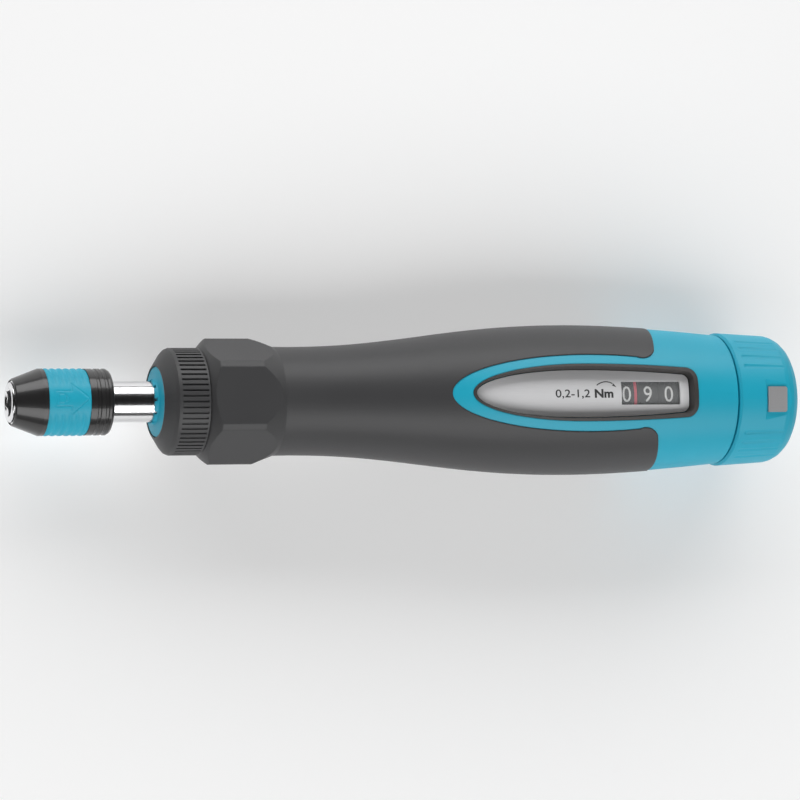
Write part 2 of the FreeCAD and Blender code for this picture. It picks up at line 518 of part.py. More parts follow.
# station of the tip, of the widest place and its half width, of the back end and its half width, corner
WINDOW = (COUNTER_X0 - 41.3, COUNTER_X0 - 10.0, 7.55, COUNTER_X1 + 4.05, 6.6, 3.2)
LABEL = (COUNTER_X0 - 39.9, COUNTER_X0 - 10.5, 7.55 - FRAME_W, COUNTER_X1 + 2.2, 6.6 - FRAME_W - 0.3, 1.8)
OPEN_TIP = COUNTER_X0 - 46.8
OPEN_MIDDLE = COUNTER_X0 - 8.1
OPEN_HALF = 10.15
GRIP_X1 = COUNTER_X0 + 14.4     # rear edge of the soft grip
LOBE_X = GRIP_X1 - 9.0
LOBE_HALF = OPEN_HALF - 0.6
FLARE = 1.2


def bare_area(grow=0.0):
    """Upright prism over the part of the handle that the grip leaves bare, and all behind the grip."""
    nose_oval = Part.Ellipse(V(OPEN_MIDDLE, 0, 0), OPEN_MIDDLE - OPEN_TIP + grow, OPEN_HALF + grow)
    edges = [Part.ArcOfEllipse(nose_oval, math.pi / 2, 1.5 * math.pi).toShape()]
    back = CORE_X1 + 2
    for side in (1, -1):
        start = V(OPEN_MIDDLE, side * (OPEN_HALF + grow), 0)
        waist = V((OPEN_MIDDLE + LOBE_X) / 2, side * (OPEN_HALF + grow - 0.15), 0)
        lobe = V(LOBE_X, side * (LOBE_HALF + grow), 0)
        bend = V(LOBE_X + 3.9 - 0.5 * grow, side * (LOBE_HALF + 0.15 + 0.5 * grow), 0)
        top = V(GRIP_X1 - 3.3 - grow, side * (OPEN_HALF + 1.15), 0)
        out = V(GRIP_X1 + FLARE - grow, side * (BELLY_R + 4), 0)
        edge = V(back, side * (BELLY_R + 4), 0)
        edges += [Part.Arc(start, waist, lobe).toShape(), Part.Arc(lobe, bend, top).toShape(),
                  Part.makeLine(top, out), Part.makeLine(out, edge)]
    edges.append(Part.makeLine(V(back, BELLY_R + 4, 0), V(back, -BELLY_R - 4, 0)))
    prism = Part.Face(Part.Wire(Part.__sortEdges__(edges))).extrude(V(0, 0, FAR))
    return prism.fuse(rod(GRIP_X1 - grow, back, FAR))


RETAINER_R = REAR_BORE_R + 0.7
core = body(-GRIP_T, NECK_X, CORE_X1).fuse(rod(CORE_X0, NECK_X, CORE_NECK_R))
core = core.fuse(body(-SKIN_STEP, OPEN_TIP - 10, CORE_X1).common(bare_area()))
core = core.cut(turned((CORE_X0 - 1, 0), (CORE_X0 - 1, BEARING_OUT), (BEARING_X1, BEARING_OUT),
                       (BEARING_X1, BORE_R), (CARRIER_X, BORE_R), (CARRIER_X, CHAMBER_R),
                       (COVER_X0, CHAMBER_R), (COVER_X0, REAR_BORE_R), (COVER_X1, REAR_BORE_R),
                       (COVER_X1, RETAINER_R), (COVER_X1 + 1, RETAINER_R), (COVER_X1 + 1, REAR_BORE_R),
                       (CORE_X1 + 1, REAR_BORE_R), (CORE_X1 + 1, 0)))
core = core.cut(around(Part.makeCylinder(1.0 + FIT, 8, V(CARRIER_X - 6.5, 0, SCREW_PITCH_R), X), 3, 60))
lens_x0 = APERTURE_X0 - LENS_EDGE
lens_x1 = APERTURE_X1 + LENS_EDGE
lens_half = APERTURE_HALF + LENS_EDGE
well = oval(WINDOW).cut(rod(CORE_X0, CORE_X1, LABEL_IN))
lens_hole = bar(lens_x0 - FIT, lens_x1 + FIT, lens_half + FIT, COUNTER_R - 3, LABEL_OUT)
keep("handle_core", core.cut(well).cut(lens_hole))

opening = Part.makeLoft([oval_wire(*LABEL, height=COUNTER_R - 1),
                         oval_wire(*LABEL, grow=FRAME_SLOPE, height=BELLY_R)], True)
frame = oval(WINDOW, -FIT).common(body(-0.05, OPEN_TIP, CORE_X1)).cut(rod(CORE_X0, CORE_X1, LABEL_IN + FIT))
keep("window_frame", frame.cut(opening))
label = oval(LABEL, -FIT).common(ring(CORE_X0, CORE_X1, LABEL_IN + FIT, LABEL_OUT))
keep("label_plate", label.cut(bar(APERTURE_X0, APERTURE_X1, APERTURE_HALF, COUNTER_R - 3, FAR)))
pane = bar(lens_x0, lens_x1, lens_half, COUNTER_R - 3, LABEL_OUT)
keep("counter_lens", ring(COUNTER_X0 - 9, COUNTER_X1 + 9, COUNTER_R + 0.4, LABEL_IN).common(pane))

hexed = turned((HEX_X0, 0), (HEX_X0, RING_R - 0.4), (HEX_X0 + 2.5, HEX_TURNED),
               (NECK_X - 5.8, HEX_TURNED), (NECK_X, NECK_R), (NECK_X, 0))
hexed = hexed.common(hexagon(HEX_X0, NECK_X, HEX_FLAT, 2.0))
grip = body(0.0, NECK_X, CORE_X1).cut(bare_area(FIT)).fuse(hexed)
inside = body(-GRIP_T + FIT, NECK_X, CORE_X1).fuse(rod(HEX_X0 - 1, NECK_X, CORE_NECK_R + FIT))
keep("soft_grip", grip.cut(inside))

keep("rear_cover", ring(COVER_X0, COVER_X1, DRIVE_R + RUN, REAR_BORE_R - FIT))
retainer = ring(COVER_X1, COVER_X1 + 0.95, REAR_BORE_R - 1.8, RETAINER_R - FIT)
keep("rear_retaining_ring", spun(retainer.cut(bar(COVER_X1 - 1, COVER_X1 + 2, 2, -FAR, 0)), 40))

# ---------------------------------------------------------------- knob and setting lock
PAD_X0 = KNOB_X1 - 10.7
PAD_L = 5.5
PAD_X1 = PAD_X0 + PAD_L
PAD_HALF = 3.4
FOOT_HALF = 1.2
STEM_L = 1.6
lock = turned((COVER_X1, DRIVE_R + 0.6), (COVER_X1, LOCK_R - 0.2), (COVER_X1 + 1.2, LOCK_R - 0.2),
              (COVER_X1 + 1.2, LOCK_TUBE_R), (LOCK_X0, LOCK_TUBE_R), (LOCK_X0, LOCK_R), (LOCK_X1, LOCK_R),
              (LOCK_X1, DRIVE_R + 0.6))
tooth_gap = bar(LOCK_X0 - 1, LOCK_X1 + 1, FOOT_HALF + 0.25, LOCK_TUBE_R, FAR)
keep("lock_ring", lock.cut(around(tooth_gap, LOCK_TEETH, KNOB_TURN)))

CAP_R = 7.2
CAP_X0 = KNOB_X1 - 2.3
HEAD_R = 3.0
HEAD_X0 = CAVITY_BACK + 2.6
knob = turned((KNOB_X0, 0), (KNOB_X0, KNOB_FRONT_R - 0.6), (KNOB_X0 + 0.6, KNOB_FRONT_R),
              (KNOB_X1 - 5.2, KNOB_REAR_R + 0.15), (KNOB_X1 - 4.0, KNOB_REAR_R - 0.15),
              (KNOB_X1 - 2.6, KNOB_REAR_R - 0.85), (KNOB_X1 - 1.3, KNOB_REAR_R - 2.0),
              (KNOB_X1 - 0.4, KNOB_REAR_R - 3.4), (KNOB_X1, KNOB_REAR_R - 5.0), (KNOB_X1, 0))
knob = knob.cut(rod(KNOB_X0 - 1, CAVITY_BACK, KNOB_CAVITY_R))
knob = knob.cut(hexagon(CAVITY_BACK - 1, CAVITY_BACK + HEX_SPIGOT + 0.1, DRIVE_HEX + RUN))
knob = knob.cut(rod(CAVITY_BACK + 1, HEAD_X0, SCREW_R + 0.1)).cut(rod(HEAD_X0, CAP_X0, HEAD_R + 0.6))
knob = knob.cut(rod(CAP_X0, KNOB_X1 + 1, CAP_R))
knob = knob.cut(bar(PAD_X0 - 0.6, KNOB_X1 + 1, KNOB_REAR_R, KNOB_FLAT, FAR))
# Way for the lock's stem and arm
way_x1 = PAD_X0 + 0.8 + STEM_L + LOCK_TRAVEL
knob = knob.cut(bar(PAD_X0 + 0.3, way_x1, FOOT_HALF + 0.1, KNOB_CAVITY_R - 1, FAR))
knob = knob.cut(bar(CAVITY_BACK - 1, way_x1, FOOT_HALF + 0.1, LOCK_R - 0.1, KNOB_CAVITY_R))
# Four groups of four shallow flutes, run out towards the front
FLUTE_R = 1.1
FLUTE_X0 = KNOB_X0 + 2.8
front = V(FLUTE_X0, 0, 0)
flute = Part.makeCylinder(FLUTE_R, KNOB_L, front, X).fuse(Part.makeSphere(FLUTE_R, front))
flute.rotate(front, V(0, 1, 0), 2.6)
flute.translate(V(0, 0, KNOB_FRONT_R + FLUTE_R - 0.35))
flutes = [spun(flute, 90 * group + 30 + 10 * i) for group in range(4) for i in range(4)]
keep("adjusting_knob", spun(knob.cut(Part.makeCompound(flutes)), KNOB_TURN))

pad = bar(PAD_X0, PAD_X1, PAD_HALF, KNOB_FLAT + 0.05, KNOB_FLAT + 0.6)
upright = [e for e in pad.Edges if abs(e.tangentAt(e.FirstParameter).z) > 0.9]
pad = pad.makeFillet(0.7, [e for e in upright if e.CenterOfMass.x > PAD_X1 - 0.1])
ARM_Z0 = LOCK_R + 0.2
foot_x0 = LOCK_X0 - LOCK_TRAVEL - 0.3
stem = bar(PAD_X0 + 0.6, PAD_X0 + 0.6 + STEM_L, FOOT_HALF, ARM_Z0, KNOB_FLAT + 0.1)
arm_bar = bar(foot_x0, PAD_X0 + 0.6 + STEM_L, FOOT_HALF, ARM_Z0, KNOB_CAVITY_R - 0.25)
foot = bar(foot_x0, foot_x0 + LOCK_TRAVEL, FOOT_HALF, LOCK_TUBE_R + 0.4, ARM_Z0 + 0.1)
keep("lock_slider", spun(pad.fuse(stem).fuse(arm_bar).fuse(foot), KNOB_TURN))

screw = rod(CAVITY_BACK - 8, HEAD_X0 + 0.1, SCREW_R).fuse(rod(HEAD_X0, CAP_X0 - 0.2, HEAD_R))
keep("knob_screw", screw.cut(hexagon(HEAD_X0 + 0.7, CAP_X0, 1.25)))
keep("knob_cap", rod(CAP_X0, KNOB_X1 - 0.1, CAP_R - FIT))

# ---------------------------------------------------------------- write the pieces
os.makedirs("parts", exist_ok=True)
for name, shape in nodes.items():
    if not shape.isValid():
        print("not valid:", name)
    shape.exportStep("parts/%s.step" % name)
    print("%-24s solids %d, volume %.1f mm3" % (name, len(shape.Solids), shape.Volume))
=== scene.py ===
import bpy
import math
from mathutils import Matrix, Vector


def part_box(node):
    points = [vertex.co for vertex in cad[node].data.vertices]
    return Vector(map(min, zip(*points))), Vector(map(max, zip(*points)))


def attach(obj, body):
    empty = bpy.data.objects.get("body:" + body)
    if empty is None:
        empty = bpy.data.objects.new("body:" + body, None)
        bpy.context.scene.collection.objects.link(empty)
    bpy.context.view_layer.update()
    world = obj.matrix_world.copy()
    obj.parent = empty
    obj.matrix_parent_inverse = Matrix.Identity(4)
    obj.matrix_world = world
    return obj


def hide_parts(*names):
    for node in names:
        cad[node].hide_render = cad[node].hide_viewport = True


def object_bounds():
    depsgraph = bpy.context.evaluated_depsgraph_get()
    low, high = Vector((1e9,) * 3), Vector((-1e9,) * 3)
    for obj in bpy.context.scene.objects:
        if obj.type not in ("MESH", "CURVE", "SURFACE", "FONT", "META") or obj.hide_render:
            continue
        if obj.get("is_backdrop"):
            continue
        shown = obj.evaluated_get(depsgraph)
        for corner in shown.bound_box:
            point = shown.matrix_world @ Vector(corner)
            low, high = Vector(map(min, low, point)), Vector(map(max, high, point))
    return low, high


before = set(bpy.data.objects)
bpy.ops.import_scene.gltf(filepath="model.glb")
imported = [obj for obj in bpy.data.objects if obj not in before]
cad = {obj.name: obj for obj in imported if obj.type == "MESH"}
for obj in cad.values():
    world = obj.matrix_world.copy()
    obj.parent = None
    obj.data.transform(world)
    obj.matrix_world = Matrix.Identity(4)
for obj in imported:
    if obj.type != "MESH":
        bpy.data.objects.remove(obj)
cad_low, cad_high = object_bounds()
MM = 0.001


# ---------------------------------------------------------------- bit spindle
# One turned steel bar: nose with the hexagon socket, polished shaft, and the journal that
# runs back into the clutch. It is ground and nickel plated, with faint rings left by grinding.
class Wire:
    """A value on its way through a material. Sums, products and comparisons of it add Math nodes."""

    def __init__(self, tree, socket=None):
        self.tree = tree
        self.socket = socket

    def node(self, kind, settings=None, inputs=None, output=0):
        made = self.tree.nodes.new("ShaderNode" + kind)
        for key, value in (settings or {}).items():
            setattr(made, key, value)
        for key, value in (inputs or {}).items():
            self.feed(made, key, value)
        return Wire(self.tree, made.outputs[output])

    def feed(self, made, key, value):
        if isinstance(value, Wire):
            self.tree.links.new(value.socket, made.inputs[key])
        else:
            made.inputs[key].default_value = value

    def maths(self, operation, one, two=0.0):
        return self.node("Math", {"operation": operation}, {0: one, 1: two})

    def __add__(self, other):
        return self.maths("ADD", self, other)

    def __rsub__(self, other):
        return self.maths("SUBTRACT", other, self)

    def __mul__(self, other):
        return self.maths("MULTIPLY", self, other)

    def __gt__(self, other):
        return self.maths("GREATER_THAN", self, other)

    __radd__ = __add__
    __rmul__ = __mul__

    def blend(self, one, two):
        """Colour that runs from one to two as this value goes from 0 to 1."""
        return self.node("Mix", {"data_type": "RGBA", "clamp_factor": True}, {0: self, 6: one, 7: two}, 2)

    def bump(self, strength, depth, edge=0.0):
        """Normal raised by this value, over edges rounded by a small radius."""
        inputs = {"Strength": strength, "Distance": depth, "Height": self}
        if edge:
            inputs["Normal"] = self.node("Bevel", {"samples": 4}, {"Radius": edge})
        return self.node("Bump", {}, inputs)


def new_finish(name, **shader):
    """Material with the shader's plain numbers set; keys use _ for the spaces of the socket names."""
    made = bpy.data.materials.new(name)
    made.use_nodes = True
    bsdf = made.node_tree.nodes["Principled BSDF"]
    for key, value in shader.items():
        bsdf.inputs[key.replace("_", " ")].default_value = value
    return made, bsdf, Wire(made.node_tree)


def places(wire, x=1.0, y=1.0, z=1.0):
    """Object coordinates, stretched along each axis."""
    where = wire.node("TexCoord", output=3)
    return wire.node("VectorMath", {"operation": "MULTIPLY"}, {0: where, 1: (x, y, z)})


def grain(wire, where, scale, detail=2.0, rough=0.5):
    return wire.node("TexNoise", {}, {"Vector": where, "Scale": scale, "Detail": detail, "Roughness": rough})


def finish_with(finish, *pieces):
    for piece in pieces:
        piece.data.materials.clear()
        piece.data.materials.append(finish)


polished, bsdf, wire = new_finish("polished_steel", Metallic=1.0)
rings = grain(wire, places(wire, 1.0, 0.02, 0.02), 5200.0, 3.0, 0.6)
cloud = grain(wire, places(wire), 90.0, 3.0)
wire.feed(bsdf, "Base Color", cloud.blend((0.80, 0.80, 0.81, 1), (0.88, 0.88, 0.89, 1)))
wire.feed(bsdf, "Roughness", 0.10 + 0.10 * rings + 0.05 * cloud)
wire.feed(bsdf, "Normal", rings.bump(0.12, 0.00002, 0.00012))
finish_with(polished, cad["spindle"], cad["nose_circlip"], cad["socket_lock_balls"])

# ---------------------------------------------------------------- steel works
# Turned and ground steel inside the head and the handle: balls, pins, pawls, rings, washers,
# nut, tube, spindle and screws. They are left bare under a film of oil.
ground, bsdf, wire = new_finish("ground_steel", Metallic=1.0)
rings = grain(wire, places(wire, 1.0, 0.05, 0.05), 3600.0, 3.0, 0.6)
cloud = grain(wire, places(wire), 120.0, 3.0)
wire.feed(bsdf, "Base Color", cloud.blend((0.48, 0.48, 0.50, 1), (0.60, 0.60, 0.62, 1)))
wire.feed(bsdf, "Roughness", 0.24 + 0.16 * rings + 0.06 * cloud)
wire.feed(bsdf, "Normal", rings.bump(0.2, 0.00003, 0.0001))
finish_with(ground, *[cad[name] for name in (
    "socket_magnet", "spring_seat_washer", "spring_seat_clip", "ratchet_wheel", "forward_pawl", "reverse_pawl",
    "pawl_pins", "selector_detent_pin", "clutch_hub", "clutch_thrust_race", "cam_disc", "cam_disc_clip",
    "clutch_balls", "pressure_plate", "main_spring_washer", "spring_nut", "mechanism_tube", "adjusting_spindle",
    "adjuster_thrust_washer", "drive_pin", "carrier_screws", "rear_retaining_ring", "lock_ring", "knob_screw")])

# ---------------------------------------------------------------- springs
# Two coiled springs of drawn steel wire, the main one under the clutch and a small one in
# the sleeve. Their surface keeps the streaks of drawing.
drawn, bsdf, wire = new_finish("spring_wire", Metallic=1.0)
streaks = grain(wire, places(wire), 1500.0, 4.0, 0.65)
wire.feed(bsdf, "Base Color", streaks.blend((0.30, 0.30, 0.32, 1), (0.46, 0.46, 0.48, 1)))
wire.feed(bsdf, "Roughness", 0.28 + 0.2 * streaks)
wire.feed(bsdf, "Normal", streaks.bump(0.15, 0.00002))
finish_with(drawn, cad["main_spring"], cad["sleeve_spring"])

# ---------------------------------------------------------------- bronze bearings
# Front bearing, thrust washer and ball cage, pressed from bronze powder and soaked in oil,
# so the surface is finely porous.
bronze, bsdf, wire = new_finish("sintered_bronze", Metallic=1.0)
pores = grain(wire, places(wire), 2200.0, 4.0, 0.7)
wire.feed(bsdf, "Base Color", pores.blend((0.40, 0.25, 0.11, 1), (0.60, 0.41, 0.20, 1)))
wire.feed(bsdf, "Roughness", 0.38 + 0.2 * pores)
wire.feed(bsdf, "Normal", pores.bump(0.4, 0.00004))
finish_with(bronze, cad["front_bearing"], cad["clutch_thrust_washer"], cad["ball_cage"])

# ---------------------------------------------------------------- quick-release sleeve
# Turned steel sleeve that slides back to free the bit. It is blackened and oiled, tapered
# to the nose, with two fine grooves at the back.
blackened, bsdf, wire = new_finish("blackened_steel", Metallic=0.35, Coat_Weight=0.5, Coat_Roughness=0.08)
rings = grain(wire, places(wire, 1.0, 0.02, 0.02), 4200.0, 3.0, 0.6)
cloud = grain(wire, places(wire), 160.0, 4.0)
wire.feed(bsdf, "Base Color", cloud.blend((0.022, 0.022, 0.023, 1), (0.036, 0.035, 0.035, 1)))
wire.feed(bsdf, "Roughness", 0.22 + 0.12 * rings + 0.06 * cloud)
wire.feed(bsdf, "Normal", rings.bump(0.10, 0.00002, 0.0002))
finish_with(blackened, cad["chuck_sleeve"])

# ---------------------------------------------------------------- turquoise mouldings
# Glass-filled polyamide moulded in one colour: shell, knob, its cap and the front bush. The
# sleeve's band, in the next section, is of the same.
turquoise, bsdf, wire = new_finish("turquoise_moulding", IOR=1.5)
pores = grain(wire, places(wire), 2600.0, 2.0)
cloud = grain(wire, places(wire), 70.0, 3.0)
wire.feed(bsdf, "Base Color", cloud.blend((0.006, 0.375, 0.530, 1), (0.012, 0.420, 0.585, 1)))
wire.feed(bsdf, "Roughness", 0.40 + 0.10 * pores + 0.06 * cloud)
wire.feed(bsdf, "Normal", pores.bump(0.18, 0.00003, 0.0003))
finish_with(turquoise, cad["handle_core"], cad["adjusting_knob"], cad["front_bush"], cad["knob_cap"])

# ---------------------------------------------------------------- band on the sleeve
# Moulded turquoise band snapped into the sleeve. Five grooves leave ribs for the fingers and
# fade into two smooth panels, each with an engraved arrow that shows which way to pull. Grooves
# that fade need a formula, so the band is a fine grid whose points are laid round the sleeve.
PANEL_HALF, FADE = 19.0, 16.0  # degrees round the sleeve
GROOVE_DEPTH = 0.26 * MM
GROOVE_WAVES = 6
LINE_DEPTH, LINE_HALF = 0.13, 0.22  # of the engraving, in millimetres
ARROW = ((-3.7, 2.0), (0.4, 2.0), (0.4, 4.0), (5.0, 0.0), (0.4, -4.0), (0.4, -2.0), (-3.7, -2.0), (-3.7, 2.0))
LOCK_BODY = ((-1.4, 1.25), (-3.0, 1.25), (-3.0, -1.25), (-1.4, -1.25), (-1.4, 1.25))
LOCK_SHACKLE = [(-1.4 + 0.95 * math.sin(a), 0.85 * math.cos(a)) for a in (0.0, 0.45, 0.9, 1.57, 2.24, 2.69, 3.14)]


def engraved(x, across):
    """Depth of the arrow and padlock lines at a place on a panel, in millimetres from its middle."""
    nearest = 1.0
    for line in (ARROW, LOCK_SHACKLE, LOCK_BODY):
        for (x0, y0), (x1, y1) in zip(line, line[1:]):
            run = (x1 - x0) ** 2 + (y1 - y0) ** 2
            share = max(0.0, min(1.0, ((x - x0) * (x1 - x0) + (across - y0) * (y1 - y0)) / run))
            nearest = min(nearest, math.hypot(x - x0 - share * (x1 - x0), across - y0 - share * (y1 - y0)))
    return LINE_DEPTH * max(0.0, 1 - (nearest / LINE_HALF) ** 2)


low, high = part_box("chuck_grip_band")
band_l = high.x - low.x
band_r = high.y - 0.05 * MM
seat_r = high.y - 0.65 * MM
edge_round = 0.08 * MM
middle = (low.x + high.x) / 2
bpy.ops.object.select_all(action="DESELECT")
bpy.ops.mesh.primitive_grid_add(x_subdivisions=92, y_subdivisions=500, size=1.0)
band = bpy.context.object
band.name = "sleeve_band"
for v in band.data.vertices:
    angle = (v.co.y + 0.5) * 2 * math.pi
    x = middle + v.co.x * band_l
    turn = math.degrees(angle) % 180.0
    from_panel = min(turn, 180.0 - turn)
    rib = max(0.0, min(1.0, (from_panel - PANEL_HALF) / FADE))
    wave = math.sin(math.pi * GROOVE_WAVES * (x - low.x) / band_l + 0.5 * math.sin(2 * angle) * rib) ** 2
    radius = band_r - GROOVE_DEPTH * rib * rib * (3 - 2 * rib) * (1 - wave) ** 1.5
    if from_panel < 32.0:
        across = math.radians(turn if turn < 90 else turn - 180) * band_r
        radius -= engraved((x - middle) / MM, across / MM) * MM
    if abs(v.co.x) > 0.4999:  # the outermost row turns in to the seat
        radius = seat_r
    elif abs(v.co.x) > 0.488:  # the row before it makes the rounded edge
        x = middle + math.copysign(0.4995, v.co.x) * band_l
        radius -= edge_round
    v.co = (x, radius * math.sin(angle), radius * math.cos(angle))
bpy.ops.object.mode_set(mode="EDIT")
bpy.ops.mesh.select_all(action="SELECT")
bpy.ops.mesh.remove_doubles(threshold=0.002 * MM)
bpy.ops.mesh.select_all(action="DESELECT")
bpy.ops.mesh.select_mode(type="EDGE")
bpy.ops.mesh.select_non_manifold()
bpy.ops.mesh.bridge_edge_loops()
bpy.ops.mesh.select_all(action="SELECT")
bpy.ops.mesh.normals_make_consistent(inside=False)
bpy.ops.object.mode_set(mode="OBJECT")
bpy.ops.object.shade_smooth_by_angle(angle=math.radians(50))
finish_with(turquoise, band)
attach(band, "chuck_sleeve")
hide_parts("chuck_grip_band")

# ---------------------------------------------------------------- soft grip
# Thermoplastic rubber moulded over the shell, with a fine spark-eroded texture that takes
# the shine off it.
soft, bsdf, wire = new_finish("soft_grip_rubber", IOR=1.46, Sheen_Weight=0.08, Sheen_Roughness=0.5)
pores = grain(wire, places(wire), 3400.0, 2.0)
cloud = grain(wire, places(wire), 45.0, 4.0)
wire.feed(bsdf, "Base Color", cloud.blend((0.042, 0.042, 0.044, 1), (0.050, 0.050, 0.052, 1)))
wire.feed(bsdf, "Roughness", 0.40 + 0.10 * pores + 0.06 * cloud)
wire.feed(bsdf, "Normal", pores.bump(0.2, 0.00003, 0.0005))
finish_with(soft, cad["soft_grip"])

# ---------------------------------------------------------------- selector ring
# Ring of the same dark colour in hard plastic, moulded with fine grooves for the fingers. It
# snaps over the ratchet housing and clicks between its places.
hard_grey, bsdf, wire = new_finish("selector_plastic", IOR=1.5)
pores = grain(wire, places(wire), 3000.0, 2.0)
wire.feed(bsdf, "Base Color", pores.blend((0.042, 0.042, 0.044, 1), (0.054, 0.054, 0.056, 1)))
wire.feed(bsdf, "Roughness", 0.42 + 0.12 * pores)
wire.feed(bsdf, "Normal", pores.bump(0.2, 0.00003, 0.00025))
finish_with(hard_grey, cad["selector_ring"])

# ---------------------------------------------------------------- number rings
# Three moulded rings turned by the knob's hub. Each carries the digits 0 to 9, printed white,
# and the first has the red decimal line round its edge.
def pick_only(*pieces):
    bpy.ops.object.select_all(action="DESELECT")
    for piece in pieces:
        piece.select_set(True)
    bpy.context.view_layer.objects.active = pieces[0]


def cut_across(piece, step, axis):
    """Cuts a flat piece into strips, so that it can be laid round a curve."""
    pick_only(piece)
    low = min(v.co[axis] for v in piece.data.vertices)
    high = max(v.co[axis] for v in piece.data.vertices)
    normal = [0, 0, 0]
    normal[axis] = 1
    bpy.ops.object.mode_set(mode="EDIT")
    for i in range(1, int((high - low) / step) + 1):
        point = [0, 0, 0]
        point[axis] = low + i * step
        bpy.ops.mesh.select_all(action="SELECT")
        bpy.ops.mesh.bisect(plane_co=point, plane_no=normal)
    bpy.ops.object.mode_set(mode="OBJECT")


CAP_SHARE = 0.729  # height of a capital in the built-in typeface, of its nominal size
FILM = 0.012 * MM  # how far print stands off what it is on


def lettering(name, words, height, weight=0.0):
    """Printed characters as a flat mesh centred on the origin, their caps as high as asked."""
    pick_only(cad["spindle"])
    bpy.ops.object.text_add(location=(0, 0, 0))
    piece = bpy.context.object
    piece.name = name
    piece.data.body = words
    piece.data.size = height / CAP_SHARE
    piece.data.offset = weight
    piece.data.align_x = "CENTER"
    piece.data.extrude = 0.01 * MM
    bpy.ops.object.convert(target="MESH")
    piece.data.transform(Matrix.Translation((0, -0.5 * height, 0)))
    return piece


def wrap_round(piece, x, radius, degrees=0.0):
    """Lays a flat piece round the tool axis: its x along the axis, its y round it from +Z towards +Y."""
    for v in piece.data.vertices:
        angle = math.radians(degrees) + v.co.y / radius
        height = radius + v.co.z
        v.co = (x + v.co.x, height * math.sin(angle), height * math.cos(angle))


def join_as(name, pieces):
    pick_only(*pieces)
    bpy.ops.object.join()
    pieces[0].name = name
    return pieces[0]


print_white, bsdf, wire = new_finish("print_white", Roughness=0.5)
speckle = grain(wire, places(wire), 4000.0)
wire.feed(bsdf, "Base Color", speckle.blend((0.80, 0.80, 0.79, 1), (0.88, 0.88, 0.87, 1)))
for ring, body, shown in (("ones_ring", "ones_ring", 0), ("tenths_ring", "tenths_ring", 9), ("hundredths_ring", "knob", 0)):
    low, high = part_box(ring)
    digits = []
    for i in range(10):
        digit = lettering(f"{ring}_digit", str((shown + i) % 10), 4.3 * MM)
        digit.data.transform(Matrix.Diagonal((0.92, 1, 1, 1)))
        cut_across(digit, 0.4 * MM, 1)
        wrap_round(digit, (low.x + high.x) / 2, high.y + FILM, 36.0 * i)
        digits.append(digit)
    printed = join_as(f"{ring}_digits", digits)
    finish_with(print_white, printed)
    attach(printed, body)

print_red, bsdf, wire = new_finish("print_red", Roughness=0.45)
speckle = grain(wire, places(wire), 4000.0)
wire.feed(bsdf, "Base Color", speckle.blend((0.66, 0.075, 0.120, 1), (0.74, 0.095, 0.145, 1)))
low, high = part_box("ones_ring")
pick_only(cad["spindle"])
bpy.ops.mesh.primitive_cylinder_add(vertices=96, radius=high.y + 0.014 * MM, depth=0.8 * MM,
                                    end_fill_type="NOTHING")
line = bpy.context.object
line.name = "decimal_line"
line.data.transform(Matrix.Translation((high.x - 0.41 * MM, 0, 0)) @ Matrix.Rotation(math.pi / 2, 4, "Y"))
finish_with(print_red, line)
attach(line, "ones_ring")

# ---------------------------------------------------------------- black mouldings
# Window frame let into the shell, and the unseen mouldings: ratchet housing, counter carrier
# and spacer, rear cover and drive hub. All are hard black plastic with a fine texture.
frame_black, bsdf, wire = new_finish("frame_plastic", IOR=1.5)
pores = grain(wire, places(wire), 3000.0, 2.0)
wire.feed(bsdf, "Base Color", pores.blend((0.040, 0.038, 0.037, 1), (0.052, 0.049, 0.047, 1)))
wire.feed(bsdf, "Roughness", 0.45 + 0.1 * pores)
wire.feed(bsdf, "Normal", pores.bump(0.2, 0.00003, 0.00025))
finish_with(frame_black, cad["window_frame"], cad["ratchet_housing"], cad["counter_carrier"], cad["counter_spacer"],
            cad["rear_cover"], cad["drive_hub"])

# ---------------------------------------------------------------- label
# Brushed silver foil stuck under the window, bent to the handle's curve. It is printed in
# black with the range that the counter covers, its unit and the way to turn the knob.
silver_foil, bsdf, wire = new_finish("label_foil", IOR=1.5)
brush = grain(wire, places(wire, 0.03, 1.0, 1.0), 6000.0, 2.0)
wire.feed(bsdf, "Base Color", brush.blend((0.66, 0.66, 0.67, 1), (0.74, 0.74, 0.75, 1)))
wire.feed(bsdf, "Roughness", 0.35 + 0.1 * brush)
finish_with(silver_foil, cad["label_plate"])

print_black, bsdf, wire = new_finish("print_black", Roughness=0.5)
speckle = grain(wire, places(wire), 4000.0)
wire.feed(bsdf, "Base Color", speckle.blend((0.030, 0.030, 0.031, 1), (0.045, 0.045, 0.046, 1)))
label_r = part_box("label_plate")[1].z
span = lettering("label_range", "0,2-1,2", 2.15 * MM, 0.02 * MM)
span.data.transform(Matrix.Translation((147.2 * MM, 0, 0)) @ Matrix.Diagonal((1.22, 1, 1, 1)))
unit = lettering("label_unit", "Nm", 2.25 * MM, 0.11 * MM)
unit.data.transform(Matrix.Translation((156.0 * MM, 0, 0)) @ Matrix.Diagonal((1.15, 1, 1, 1)))
pick_only(cad["spindle"])
bpy.ops.curve.primitive_bezier_curve_add()
sweep = bpy.context.object
sweep.name = "label_arrow"
start, end = sweep.data.splines[0].bezier_points
for knot, places_mm in ((start, ((154.1, 2.1, 0), (153.3, 1.5, 0), (155.6, 3.4, 0))),
                        (end, ((158.6, 2.5, 0), (157.6, 3.3, 0), (159.5, 1.8, 0)))):
    knot.co, knot.handle_left, knot.handle_right = [Vector(place) * MM for place in places_mm]
sweep.data.bevel_depth = 0.14 * MM
bpy.ops.object.convert(target="MESH")
sweep.data.transform(Matrix.Diagonal((1, 1, 0.08, 1)))
pick_only(cad["spindle"])
bpy.ops.mesh.primitive_cylinder_add(vertices=3, radius=0.62 * MM, depth=0.02 * MM)
head = bpy.context.object
